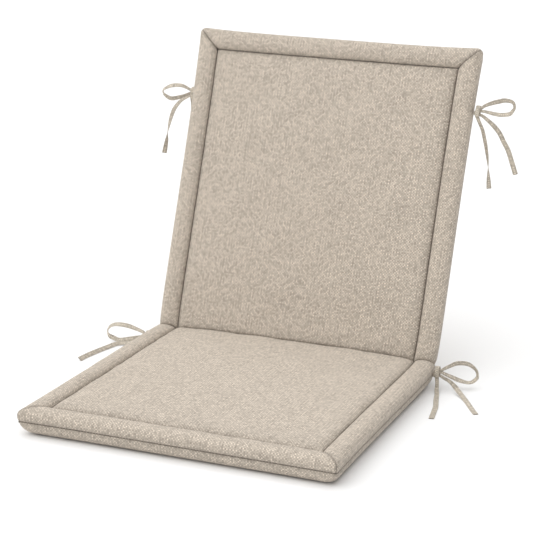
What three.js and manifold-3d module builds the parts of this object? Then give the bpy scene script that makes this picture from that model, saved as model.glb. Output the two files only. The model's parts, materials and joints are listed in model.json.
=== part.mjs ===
// A low-back chair pad: a seat pad and a back pad of one fabric, joined by a sewn-through fold.
// Millimetres, +Z up. X runs across the chair, the seat's front edge faces -Y and the back leans towards +Y.
// The origin is on the floor, under the middle of the two pads.
import * as THREE from "three";
import { mergeVertices } from "three/addons/utils/BufferGeometryUtils.js";
import Module from "manifold-3d";

// Overall sizes
const WIDTH = 500; // across both pads
const SEAT_LENGTH = 484; // from the fold to the seat's front edge
const BACK_LENGTH = 516; // from the fold to the top of the back
const LEAN = 20.25; // degrees that the back leans from upright

// Make-up of a pad, as heights above its underside
const SEAM_HEIGHT = 33; // bottom of the sunk seam round the centre panel
const BORDER_CREST = 41; // top of the puffed border
const PANEL_CROWN = 43; // middle of the puffed centre panel
const WAIST_HEIGHT = 30; // where the pad is widest
const EDGE_SEAM_HEIGHT = 22; // seam between border and underside
const EDGE_SEAM_INSET = 2.6; // how far that seam sits in from the widest line
const BORDER_WIDTH = 36; // from the sunk seam to the widest line
const UNDERSIDE_INSET = 28; // where the underside starts to lie flat
const CREST_INSET = 20; // how far the border's crest is from the widest line
const CROWN_RUN = 14; // distance in which the centre panel does most of its rise

// Cloth, clearances and the fold
const SKIN = 2; // cover with its quilted wadding
const GAP = 0.3; // between neighbouring pieces
const CORE_GAP = 0.5; // between foam core and border filling
const LOFT = 2; // air under the cover where it curves two ways, more than the facets differ by
const HINGE_HEIGHT = 31; // fold line above the underside
const WEB_RADIUS = 1.8; // bead of cloth along the fold line
const WEB_SIDES = 12;
const FOLD_SETBACK = 2.2; // from the fold line to the end of each pad
const FOLD_RISE = 0.25; // slope at which the pads rise from the fold
const FOLD_STATIONS = [6, 12, 20, 30, 45]; // distances from the fold where that rise is followed
const PRESSED = 0.01; // what is left of the height above that rise where the border is pressed down to it
const CORNER_LAP = 0.05; // how far the underside's rims run into each other at a mitre
const SHEET_LAP = 4; // how far the underside's rim runs on level before its sheet takes over

// Handles of the curves in the edge's section, from the sunk seam over crest and waist to the underside.
// Each is given as shares of its stretch, level and upright.
const FROM_SUNK_SEAM = [0.18, 0.62];
const INTO_CREST = [0.62, 1];
const FROM_CREST = [0.5, 0];
const INTO_WAIST = [1, 0.27];
const FROM_WAIST = [0, 0.38];
const INTO_EDGE_SEAM = [0.38, 0.69];
const FROM_EDGE_SEAM = [0.21, 0.35];
const INTO_UNDERSIDE = [0.6, 0.86];
const CURVE_POINTS = 4; // facets along each of them

// Grid lines shared by a foam core and its centre panel
const LINES_ACROSS = [0.3, 0.6, 0.8]; // shares of the half width
const LINES_ALONG = [0.2, 0.35, 0.5, 0.65, 0.8]; // shares of the length
const LINES_AT_SEAM = [1.5, 0.5]; // distances from the sunk seam, in crown runs
const SAME_POINT = 1e-4; // points nearer than this are one

// Ties: narrow straps, knotted close to the edge
const TIE_WIDTH = 8;
const TIE_THICKNESS = 1.4;
const TIE_STEP = 5; // length of one facet along a strap
const TIE_EDGE = 0.6; // how much of a strap's half thickness its chamfers take
const KNOT_WIDTH = 8; // along the strap, outwards from the pad
const KNOT_DEPTH = 9;
const KNOT_LENGTH = 19.6;
const KNOT_CORNER = 3;
const KNOT_CORNER_STEPS = 3;
const KNOT_CLEARANCE = 1.5; // from the pad's widest line to the knot
const ROOT_OUT = 1.8; // from the edge seam out to the middle of the ties' root
const ROOT_DROP = 0.8; // from the edge seam down to the middle of the root
const ROOT_CLEARANCE = 0.7; // between the root and the knot's flank
const UPPER_TIE_AT = 413; // from the fold, up the back
const LOWER_TIE_AT = 24; // from the fold, along the seat

const HALF_WIDTH = WIDTH / 2;
const lean = THREE.MathUtils.degToRad(LEAN);
const cloth = (colour) => new THREE.MeshStandardMaterial({ color: colour, roughness: 0.95, metalness: 0 });
const PANEL_CLOTH = cloth("#cdc1b0");
const BORDER_CLOTH = cloth("#c6baa8");
const UNDERSIDE_CLOTH = cloth("#bdb19f");
const TIE_CLOTH = cloth("#b9ac99");
const FOAM = cloth("#efe6c4");
const FIBRE = cloth("#f3f1ea");

// ---- section of a pad's edge: points (inset from the widest line, height above the underside) ----

// Draws a curve on from the path's end; its two handles are given as shares of the way, level and upright.
function curveOn(path, to, first, second) {
  const { x, y } = path.currentPoint;
  const handle = ([level, upright]) => [x + level * (to[0] - x), y + upright * (to[1] - y)];
  return path.bezierCurveTo(...handle(first), ...handle(second), ...to);
}

const edgeTop = new THREE.Path().moveTo(BORDER_WIDTH - GAP / 2, SEAM_HEIGHT);
curveOn(edgeTop, [CREST_INSET, BORDER_CREST], FROM_SUNK_SEAM, INTO_CREST);
curveOn(edgeTop, [0, WAIST_HEIGHT], FROM_CREST, INTO_WAIST);
curveOn(edgeTop, [EDGE_SEAM_INSET, EDGE_SEAM_HEIGHT], FROM_WAIST, INTO_EDGE_SEAM);
const rimTop = EDGE_SEAM_HEIGHT - GAP;
const edgeBottom = new THREE.Path().moveTo(EDGE_SEAM_INSET, rimTop);
curveOn(edgeBottom, [UNDERSIDE_INSET, 0], FROM_EDGE_SEAM, INTO_UNDERSIDE);
const topLine = edgeTop.getPoints(CURVE_POINTS);
const bottomLine = edgeBottom.getPoints(CURVE_POINTS);

// The line moved by a distance towards the inside of the pad, each point along its own normal,
// except at the edge seam, where it moves level so that cover and underside meet on a flat face.
function offset(line, distance) {
  return line.map((p, k) => {
    if (Math.abs(p.x - EDGE_SEAM_INSET) < SAME_POINT) return new THREE.Vector2(p.x + distance, p.y);
    const along = line[Math.min(k + 1, line.length - 1)].clone().sub(line[Math.max(k - 1, 0)]).normalize();
    return new THREE.Vector2(p.x - along.y * distance, p.y + along.x * distance);
  });
}

// ---- height of the top over the whole pad ----

// The pads rise from the fold at one slope, so that they can close on each other.
const foldLimit = (s) => HINGE_HEIGHT + FOLD_RISE * s;
const rise = (distance) => 1 - Math.exp(-Math.max(distance, 0) / CROWN_RUN);
function panelTop(x, s, length) {
  const across = rise(HALF_WIDTH - BORDER_WIDTH - Math.abs(x));
  const along = rise(length - BORDER_WIDTH - s);
  return Math.min(SEAM_HEIGHT + (PANEL_CROWN - SEAM_HEIGHT) * across * along, foldLimit(s));
}

// ---- makers: each gives a geometry in a pad's own frame ----
// There x runs across, y is s, the distance from the fold, and z is the height above the underside.

// Every vertex of a closed geometry moved by a rule (x, y, z) -> [x, y, z]; points that meet are merged.
function moulded(geometry, rule) {
  const bare = geometry.clone();
  bare.deleteAttribute("normal");
  bare.deleteAttribute("uv");
  const position = bare.getAttribute("position");
  for (let i = 0; i < position.count; i++)
    position.setXYZ(i, ...rule(position.getX(i), position.getY(i), position.getZ(i)));
  const merged = mergeVertices(bare, SAME_POINT);
  merged.computeVertexNormals();
  return merged;
}

// A sheet or slab between two height rules, over a grid of lines across and along the pad.
function slab(xLines, sLines, bottom, top) {
  const across = xLines.length - 1;
  const along = sLines.length - 1;
  return moulded(new THREE.BoxGeometry(across, along, 1, across, along, 1), (u, v, w) => {
    const x = xLines[Math.round(u + across / 2)];
    const s = sLines[Math.round(v + along / 2)];
    return [x, s, w > 0 ? top(x, s) : bottom(x, s)];
  });
}

// Grid lines from one end to the other, with the shared lines that lie between them.
function between(from, to, shared) {
  const inner = shared.filter((line) => line > from + GAP / 2 && line < to - GAP / 2);
  return [from, ...inner.sort((a, b) => a - b), to];
}

// Lines shared by a pad's core and its centre panel: close together where the panel rises.
function sharedAcross() {
  const half = HALF_WIDTH - BORDER_WIDTH;
  const inner = LINES_ACROSS.map((share) => share * half);
  const right = [...inner, ...LINES_AT_SEAM.map((runs) => half - runs * CROWN_RUN)];
  return [0, ...right, ...right.map((x) => -x)];
}

function sharedAlong(length) {
  const end = length - BORDER_WIDTH;
  const middle = LINES_ALONG.map((share) => share * end);
  return [...FOLD_STATIONS, ...middle, ...LINES_AT_SEAM.map((runs) => end - runs * CROWN_RUN)];
}

// A closed section drawn out to a strip of `count` stations, at depth 0, 1, 2 ...
function strip(section, count) {
  const settings = { depth: count - 1, steps: count - 1, bevelEnabled: false };
  return new THREE.ExtrudeGeometry(new THREE.Shape(section), settings);
}

// A strip along one side of the pad, from the fold to the mitre with the end border.
// lift is how far below the cover's outer face the section's points lie, so the fold's slope is kept.
function sideStrip(section, side, from, length, lift, mitreGap, follow) {
  const stations = [from, ...FOLD_STATIONS.filter((s) => s > from + GAP)];
  const count = stations.length + 1;
  return moulded(flipIf(side < 0, strip(section, count)), (inset, height, station) => {
    const k = Math.round(station);
    const s = k === count - 1 ? length - inset - mitreGap : stations[k];
    const limit = follow ? foldLimit(s) - lift(inset, height) : Infinity;
    return [side * (HALF_WIDTH - inset), s, height < limit ? height : limit + (height - limit) * PRESSED];
  });
}

// A strip along the end of the pad that is away from the fold, mitred at both corners.
function endStrip(section, length, mitreGap) {
  const count = 3; // both corners and the middle
  return moulded(strip(section, count), (inset, height, station) => {
    const across = Math.round(station) - 1;
    return [-across * (HALF_WIDTH - inset - mitreGap), length - inset, height];
  });
}

// Reverses the winding of a geometry, for a rule that mirrors it.
function flipIf(mirror, geometry) {
  if (!mirror) return geometry;
  const flat = geometry.index ? geometry.toNonIndexed() : geometry.clone();
  const position = flat.getAttribute("position");
  for (let i = 0; i < position.count; i += 3) {
    const a = new THREE.Vector3().fromBufferAttribute(position, i + 1);
    const b = new THREE.Vector3().fromBufferAttribute(position, i + 2);
    position.setXYZ(i + 1, b.x, b.y, b.z);
    position.setXYZ(i + 2, a.x, a.y, a.z);
  }
  return flat;
}

// ---- the pieces' sections ----

const skinLine = offset(topLine, SKIN);
const borderSection = [...topLine, ...skinLine.slice().reverse()];
const rimInner = offset(bottomLine, SKIN);
const rimSection = [
  ...bottomLine,
  new THREE.Vector2(UNDERSIDE_INSET + SHEET_LAP, 0),
  new THREE.Vector2(UNDERSIDE_INSET + SHEET_LAP, SKIN),
  ...rimInner.slice().reverse(),
];
const fillGap = SKIN + GAP;
const fillTop = offset(topLine, fillGap);
const fillBottom = offset(bottomLine, fillGap);
const fillSection = [
  new THREE.Vector2(BORDER_WIDTH, SEAM_HEIGHT - fillGap),
  ...fillTop,
  ...fillBottom.slice(0, -1),
  new THREE.Vector2(BORDER_WIDTH, fillGap),
];
const onTop = (inset, height) => topLine.some((p) => p.distanceTo({ x: inset, y: height }) < SAME_POINT);
const skinDepth = (inset, height) => (onTop(inset, height) ? 0 : SKIN);

// ---- booleans ----

const wasm = await Module();
wasm.setup();

function solidOf(geometry) {
  const bare = geometry.clone();
  for (const name of Object.keys(bare.attributes)) if (name !== "position") bare.deleteAttribute(name);
  const merged = mergeVertices(bare, SAME_POINT);
  const vertProperties = new Float32Array(merged.getAttribute("position").array);
  const triVerts = new Uint32Array(merged.index.array);
  return new wasm.Manifold(new wasm.Mesh({ numProp: 3, vertProperties, triVerts }));
}

function geometryOf(solid) {
  const mesh = solid.getMesh();
  const geometry = new THREE.BufferGeometry();
  geometry.setAttribute("position", new THREE.BufferAttribute(new Float32Array(mesh.vertProperties), 3));
  geometry.setIndex(new THREE.BufferAttribute(new Uint32Array(mesh.triVerts), 1));
  geometry.computeVertexNormals();
  return geometry;
}

// ---- underside of a pad: a sheet with its rim turned up on three sides and an end wall at the fold ----

function underside(length) {
  const sheetHalf = HALF_WIDTH - UNDERSIDE_INSET - SHEET_LAP / 2;
  const sheetTo = length - UNDERSIDE_INSET - SHEET_LAP / 2;
  const sheet = slab([-sheetHalf, sheetHalf], [FOLD_SETBACK, sheetTo], () => 0, () => SKIN);
  const keep = () => 0;
  const left = sideStrip(rimSection, -1, FOLD_SETBACK, length, keep, -CORNER_LAP, false);
  const right = sideStrip(rimSection, 1, FOLD_SETBACK, length, keep, -CORNER_LAP, false);
  const end = endStrip(rimSection, length, -CORNER_LAP);
  const wallTop = foldLimit(FOLD_SETBACK) - fillGap;
  const wallInset = EDGE_SEAM_INSET + fillGap;
  const half = [...bottomLine].reverse().map((p) => new THREE.Vector2(HALF_WIDTH - p.x, p.y));
  const wallAt = HALF_WIDTH - wallInset;
  half.push(new THREE.Vector2(wallAt, rimTop), new THREE.Vector2(wallAt, wallTop));
  const mirrored = half.map((p) => new THREE.Vector2(-p.x, p.y)).reverse();
  const wall = strip([...half, ...mirrored], 2);
  const standing = (x, height, station) => [x, FOLD_SETBACK + station * SKIN, height];
  const walls = [left, right, end, moulded(flipIf(true, wall), standing)];
  return geometryOf(walls.map(solidOf).reduce((a, b) => a.add(b), solidOf(sheet)));
}

// ---- one pad: its frame has the fold line at the origin ----

function mesh(name, geometry, material) {
  const made = new THREE.Mesh(geometry, material);
  made.name = name;
  return made;
}

// facing is +1 where the pad's own x runs the same way as the object's, -1 where it runs against it.
function pad(prefix, endName, undersideName, length, facing) {
  const group = new THREE.Group();
  const inside = FOLD_SETBACK + SKIN + GAP;
  const panelHalf = HALF_WIDTH - BORDER_WIDTH - GAP / 2;
  const coreHalf = HALF_WIDTH - BORDER_WIDTH - CORE_GAP;
  const panelTo = length - BORDER_WIDTH - GAP / 2;
  const coreTo = length - BORDER_WIDTH - CORE_GAP;
  const top = (x, s) => panelTop(x, s, length);
  const under = (x, s) => top(x, s) - SKIN;
  const across = sharedAcross();
  const along = sharedAlong(length);
  const coreLines = [between(-coreHalf, coreHalf, across), between(inside, coreTo, along)];
  const core = slab(...coreLines, () => fillGap, (x, s) => top(x, s) - SKIN - LOFT);
  group.add(mesh(`${prefix}_foam_core`, core, FOAM));
  const panelLines = [
    between(-panelHalf, panelHalf, [-coreHalf, ...across, coreHalf]),
    between(FOLD_SETBACK, panelTo, [inside, ...along, coreTo]),
  ];
  group.add(mesh(`${prefix}_centre_panel`, slab(...panelLines, under, top), PANEL_CLOTH));
  for (const side of [-1, 1]) {
    const name = side * facing < 0 ? "left" : "right";
    const fill = sideStrip(fillSection, side, inside, length, () => SKIN + LOFT, GAP, true);
    group.add(mesh(`${prefix}_border_fill_${name}`, fill, FIBRE));
    const border = sideStrip(borderSection, side, FOLD_SETBACK, length, skinDepth, GAP / 2, true);
    group.add(mesh(`${prefix}_border_${name}`, border, BORDER_CLOTH));
  }
  group.add(mesh(`${prefix}_border_fill_${endName}`, endStrip(fillSection, length, GAP), FIBRE));
  group.add(mesh(`${prefix}_border_${endName}`, endStrip(borderSection, length, GAP / 2), BORDER_CLOTH));
  group.add(mesh(`${prefix}_${undersideName}`, underside(length), UNDERSIDE_CLOTH));
  for (const piece of group.children) piece.position.z = -HINGE_HEIGHT;
  return group;
}

const chairPad = new THREE.Group();
const seat = pad("seat", "front", "base_panel", SEAT_LENGTH, -1);
seat.rotation.z = Math.PI;
const back = pad("back", "top", "rear_panel", BACK_LENGTH, 1);
back.rotation.x = Math.PI / 2 - lean;

// ---- the sewn-through fold: one bead of gathered cloth along the fold line ----

const bead = new THREE.CylinderGeometry(WEB_RADIUS, WEB_RADIUS, WIDTH - 2 * EDGE_SEAM_INSET, WEB_SIDES);
bead.rotateZ(Math.PI / 2);
const pads = new THREE.Group();
pads.position.z = HINGE_HEIGHT;
pads.add(seat, back, mesh("fold_seam_web", bead, BORDER_CLOTH));

// ---- ties ----

// A smooth route for a flat strap; faces holds the direction of its width at the start and at the end.
class StrapPath extends THREE.CatmullRomCurve3 {
  constructor(points, faces) {
    super(points, false, "centripetal");
    this.faces = faces;
  }
  computeFrenetFrames(segments) {
    const frames = { tangents: [], normals: [], binormals: [] };
    for (let i = 0; i <= segments; i++) {
      const tangent = this.getTangentAt(i / segments);
      const width = this.faces[0].clone().lerp(this.faces[1], i / segments);
      width.addScaledVector(tangent, -width.dot(tangent)).normalize();
      frames.tangents.push(tangent);
      frames.normals.push(width);
      frames.binormals.push(tangent.clone().cross(width));
    }
    return frames;
  }
}

// An eight-sided section, wide along x and thin along y.
function strapSection(width, thickness) {
  const w = width / 2;
  const t = thickness / 2;
  const chamfer = t * TIE_EDGE;
  const corner = [[w, t - chamfer], [w - chamfer, t], [chamfer - w, t], [-w, t - chamfer]];
  const points = [...corner, ...corner.map(([x, y]) => [-x, -y])];
  return new THREE.Shape(points.map(([x, y]) => new THREE.Vector2(x, y)));
}

function strap(points, faces, thickness = TIE_THICKNESS) {
  const extrudePath = new StrapPath(points, faces);
  const steps = Math.max(2, Math.round(extrudePath.getLength() / TIE_STEP));
  const settings = { steps, extrudePath, bevelEnabled: false };
  return new THREE.ExtrudeGeometry(strapSection(TIE_WIDTH, thickness), settings);
}

// The knot: a short block with round corners, its length along z.
function knotBlock() {
  const d = KNOT_DEPTH / 2;
  const l = KNOT_LENGTH / 2;
  const r = KNOT_CORNER;
  const outline = new THREE.Shape()
    .moveTo(d, r - l).lineTo(d, l - r)
    .quadraticCurveTo(d, l, d - r, l).lineTo(r - d, l)
    .quadraticCurveTo(-d, l, -d, l - r).lineTo(-d, r - l)
    .quadraticCurveTo(-d, -l, r - d, -l).lineTo(d - r, -l)
    .quadraticCurveTo(d, -l, d, r - l);
  const settings = { depth: KNOT_WIDTH, bevelEnabled: false, curveSegments: KNOT_CORNER_STEPS };
  const block = new THREE.ExtrudeGeometry(outline, settings);
  block.translate(0, 0, -KNOT_WIDTH / 2); // outline in x, y and width along z
  block.rotateZ(Math.PI / 2);
  block.rotateY(Math.PI / 2); // width now runs along x, length along z
  return block;
}

// Each bow is one strap looped and one strap wrapped round it. Its points are [outwards, along Y, up]
// from the knot. A bow on the back leaves the edge at UPPER_TIE_AT, one on the seat at LOWER_TIE_AT;
// slide is how far its knot lies from there along the edge, and height how far above the underside.
const bows = [
  {
    name: "upper_right", side: 1, on: "back", slide: 4, height: 33,
    loop: [[5.2, -1.5, 6], [12, 0, 11], [24, 3, 16], [34, 4, 19], [42, 5, 21], [51, 7, 20], [56, 8, 17],
      [58, 8, 10], [55, 7, 4], [50, 7, -1], [37, 5, -3], [25, 4, -2], [14, 3, 0], [5.2, 1.5, 1]],
    wrapTail: [[1, -2, -12.8], [4.5, -1, -19], [9, 1, -30], [13, 1, -44], [16, 2, -58], [19, 2, -74],
      [21, 2, -89], [23, 1, -108], [25, 0, -125]],
    loopTail: [[5.2, -1.5, -5], [10, -2, -7], [18, -1, -13], [28, 1, -22], [37, 3, -33], [44, 4, -46],
      [52, 5, -60], [59, 6, -79], [66, 7, -99]],
  },
  {
    name: "upper_left", side: -1, on: "back", slide: -3, height: 12,
    loop: [[5.2, -1.5, 5], [12, -1, 8], [21, -2, 11], [31, -3, 11], [40, -4, 9.5], [48, -5, 6],
      [54, -5, 2], [55, -5, -3], [51, -4, -8], [45, -2, -12], [38, -1, -13], [21, 1, -8.5],
      [12, 2, -4.5], [5.2, 1.5, -1]],
    wrapTail: [[0, -2, -12.8], [1, 0, -22], [2, 2, -38], [2, 3, -56], [1, 4, -76], [0, 4, -96],
      [-1, 4, -112]],
    loopTail: [[5.6, -1.5, -6], [11, -2, -8.5], [18, -4, -12.5], [25, -5, -19], [34, -6, -32],
      [41, -6, -52], [46, -6, -75], [48, -5, -88], [52, -5, -110]],
  },
  {
    name: "lower_right", side: 1, on: "seat", slide: 0, height: 30,
    loop: [[5.6, -1.5, 4], [11, 0, 7.5], [18, 5, 11], [28, 12, 15], [41, 20, 14], [50, 24, 9],
      [56, 27, 2], [58, 28, -5], [57, 28, -11], [48, 24, -18], [34, 17, -15], [21, 9, -8],
      [12, 3.5, -3], [5.6, 1.5, 0]],
    wrapTail: [[0, 0, -10.8], [1, -4, -17], [3, -12, -24], [7, -24, -28.6], [11, -40, -29],
      [16, -59, -29], [22, -81, -29], [26, -104, -29], [31, -134, -29]],
    loopTail: [[5.2, -1.5, -5], [12, -2, -8], [21, -3, -11.5], [30, -6, -17], [38, -11, -22.5],
      [48, -21, -27], [58, -35, -28.8], [70, -56, -29], [80, -74, -29], [88, -87, -29]],
  },
  {
    name: "lower_left", side: -1, on: "seat", slide: -6, height: 19,
    loop: [[5.2, -1.5, 4], [11, -1, 7], [23, 0, 10], [36, 0, 13], [49, 0, 14], [62, 0, 13], [71, 0, 9],
      [76, 0, 3], [77, 0, -3], [73, 0, -9], [66, 1, -12], [56, 1, -14], [36, 2, -10], [23, 2, -6],
      [11, 2, -2], [5.2, 1.5, 0]],
    wrapTail: [[0, 0, -10.8], [1, 4, -15], [3, 12, -17.8], [5, 24, -18], [6, 38, -18], [6, 54, -18],
      [4, 70, -18], [3, 86, -18], [3, 100, -18]],
    loopTail: [[5.6, -1.5, -5], [12, -3, -7.5], [20, -6, -9.5], [30, -7, -12.5], [39, -8, -16],
      [47, -11, -17.1], [53, -21, -17.2], [57, -38, -17.5], [60.5, -53, -18], [64, -71, -18],
      [67.5, -92, -18], [70, -118, -18]],
  },
];

const ties = new THREE.Group();
for (const bow of bows) {
  const ownPad = bow.on === "back" ? back : seat;
  const facing = bow.on === "back" ? 1 : -1;
  const at = bow.on === "back" ? UPPER_TIE_AT : LOWER_TIE_AT;
  ownPad.updateMatrix();
  const place = (outwards, s, height) =>
    new THREE.Vector3(facing * bow.side * (HALF_WIDTH + outwards), s, height - HINGE_HEIGHT)
      .applyMatrix4(ownPad.matrix)
      .add(pads.position);
  const knotOut = KNOT_CLEARANCE + KNOT_WIDTH / 2;
  const knotAt = place(knotOut, at + bow.slide, bow.height);
  const alongEdge = place(0, 1, 0).sub(place(0, 0, 0));
  const across = new THREE.Vector3(1, 0, 0);
  const deep = new THREE.Vector3(0, 1, 0);

  // the two straps' doubled root, from the edge seam to the knot
  const upDown = bow.on === "back" ? Math.sign(bow.height - EDGE_SEAM_HEIGHT) : 0;
  const besideKnot = KNOT_DEPTH / 2 + TIE_THICKNESS + ROOT_CLEARANCE;
  const rootHeight = EDGE_SEAM_HEIGHT - ROOT_DROP;
  const rootStart = place(ROOT_OUT - EDGE_SEAM_INSET, at, rootHeight);
  const rootEnd = upDown
    ? place(knotOut - TIE_THICKNESS, at, bow.height - upDown * besideKnot)
    : place(KNOT_CLEARANCE - GAP, at, rootHeight);
  const rootPoints = [rootStart, rootStart.clone().lerp(rootEnd, 0.5), rootEnd];
  const root = strap(rootPoints, [alongEdge, alongEdge], 2 * TIE_THICKNESS);
  ties.add(mesh(`tie_${bow.name}_root`, root, TIE_CLOTH));

  const knot = mesh(`tie_${bow.name}_knot`, knotBlock(), TIE_CLOTH);
  knot.position.copy(knotAt);
  if (bow.on === "back") knot.rotation.x = -lean;
  ties.add(knot);

  const route = (points) =>
    points.map(([outwards, y, up]) => new THREE.Vector3(bow.side * outwards, y, up).add(knotAt));
  ties.add(mesh(`tie_${bow.name}_loop`, strap(route(bow.loop), [deep, deep]), TIE_CLOTH));
  ties.add(mesh(`tie_${bow.name}_wrap_tail`, strap(route(bow.wrapTail), [across, across]), TIE_CLOTH));
  ties.add(mesh(`tie_${bow.name}_loop_tail`, strap(route(bow.loopTail), [deep, across]), TIE_CLOTH));
}

// ---- the origin: on the floor, in the middle of the two pads ----

chairPad.add(pads, ties);
chairPad.updateMatrixWorld(true);
const footprint = new THREE.Box3().setFromObject(pads, true);
chairPad.position.y = -(footprint.min.y + footprint.max.y) / 2;

export default chairPad;
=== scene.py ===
"""A low-back chair pad: a puffed seat pad and back pad of heathered linen-look cloth, joined by a
sewn-through fold, with four pairs of narrow ties. Metres, +Z up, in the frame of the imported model."""
import json
import math

import bmesh
import bpy
import numpy as np
from mathutils import Matrix, Vector


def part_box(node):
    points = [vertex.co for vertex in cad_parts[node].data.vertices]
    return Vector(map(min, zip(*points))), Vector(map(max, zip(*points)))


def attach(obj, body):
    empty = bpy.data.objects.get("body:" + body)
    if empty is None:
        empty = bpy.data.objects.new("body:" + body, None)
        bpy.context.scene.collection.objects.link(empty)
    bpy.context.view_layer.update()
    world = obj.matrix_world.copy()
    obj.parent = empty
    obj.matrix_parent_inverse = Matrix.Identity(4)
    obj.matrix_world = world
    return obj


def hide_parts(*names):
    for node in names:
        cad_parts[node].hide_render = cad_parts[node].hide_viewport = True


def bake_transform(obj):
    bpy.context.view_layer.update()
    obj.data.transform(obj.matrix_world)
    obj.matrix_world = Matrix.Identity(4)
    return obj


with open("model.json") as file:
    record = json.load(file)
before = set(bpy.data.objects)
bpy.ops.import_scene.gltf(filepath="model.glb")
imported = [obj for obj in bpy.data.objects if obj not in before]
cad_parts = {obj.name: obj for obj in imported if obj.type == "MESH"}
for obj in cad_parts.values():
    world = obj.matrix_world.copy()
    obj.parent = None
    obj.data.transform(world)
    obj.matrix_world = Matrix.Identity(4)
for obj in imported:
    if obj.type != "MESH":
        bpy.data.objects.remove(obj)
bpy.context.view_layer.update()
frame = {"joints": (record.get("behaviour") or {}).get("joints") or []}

# ---- Camera -------------------------------------------------------------------------------------------
# A long lens, a little to the right of the pad and above it, aimed between the seat and the back. It is
# placed from the fold line: the aim's offset, then backwards along the line of sight by the camera's
# distance.

fold = np.array(frame["joints"][0]["pos_m"])
AIM_OFFSET = (0.0378, -0.2242, 0.1966)  # from the middle of the fold line
azimuth, elevation, roll = np.radians([21.4446, 15.2862, 1.19])
CAMERA_DISTANCE = 2.7272
LENS_MM = 122.324

aim = fold + AIM_OFFSET
backwards = np.array([math.sin(azimuth) * math.cos(elevation),
                      -math.cos(azimuth) * math.cos(elevation),
                      math.sin(elevation)])
level = np.cross((0, 0, 1), backwards)
level /= np.linalg.norm(level)
upright = np.cross(backwards, level)
camera = bpy.data.objects.new("camera", bpy.data.cameras.new("camera"))
camera.data.lens = LENS_MM
placing = np.eye(4)
placing[:3, 0] = math.cos(roll) * level + math.sin(roll) * upright
placing[:3, 1] = math.cos(roll) * upright - math.sin(roll) * level
placing[:3, 2] = backwards
placing[:3, 3] = aim + CAMERA_DISTANCE * backwards
camera.matrix_world = Matrix(placing.tolist())
bpy.context.scene.collection.objects.link(camera)
bpy.context.scene.camera = camera

# ---- Ties ---------------------------------------------------------------------------------------------
# Narrow straps of the same cloth, folded lengthwise and stitched shut. Two leave the edge seam at each of
# four places: one makes the loop and a tail, the other is wrapped round it and hangs as the second tail.

TIE_WIDTH = 0.008
TIE_THICKNESS = 0.0015
TIE_STEP = 0.0016
KNOT_GATHER = 0.62  # how wide a tie is inside a knot, as a share of its width
SECTION_POWER = 2.6  # of a tie's section: 2 would be an ellipse, more is squarer
TIE_COLOUR = (0.47, 0.42, 0.35)
YARN = 0.0024  # from one yarn to the next


def add_node(tree, kind, **settings):
    """A shader node of that kind. settings names its properties or, as in_0 or in_Scale, its inputs."""
    node = tree.nodes.new(kind)
    for key, value in settings.items():
        if key.startswith("in_"):
            name = key[3:].replace("_", " ")
            socket = node.inputs[int(name) if name.isdigit() else name]
            if isinstance(value, bpy.types.NodeSocket):
                tree.links.new(value, socket)
            else:
                socket.default_value = value
        else:
            setattr(node, key, value)
    return node


def sums(tree, operation, *values):
    """The output of one Math node that works on the values, each a number or a socket."""
    inputs = {f"in_{k}": value for k, value in enumerate(values)}
    return add_node(tree, "ShaderNodeMath", operation=operation, **inputs).outputs[0]


PAINTED_SEAM_SHADES = [(0.46, 0.0013), (0.2, 0.006)]  # painted shade at a seam: how much darker the cloth is made, and over what distance; the narrow band also stands for the thread
YARN_DRIFT = 110.0  # how often a yarn's tone changes, per metre
# How much each of these makes the cloth's tone vary.
TONE_SHARE, GAP_SHADE_SHARE, FIBRE_SHARE, CLOUD_SHARE, RIB_SHARE = 1.5, 0.9, 1.0, 0.25, 0.5


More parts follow.
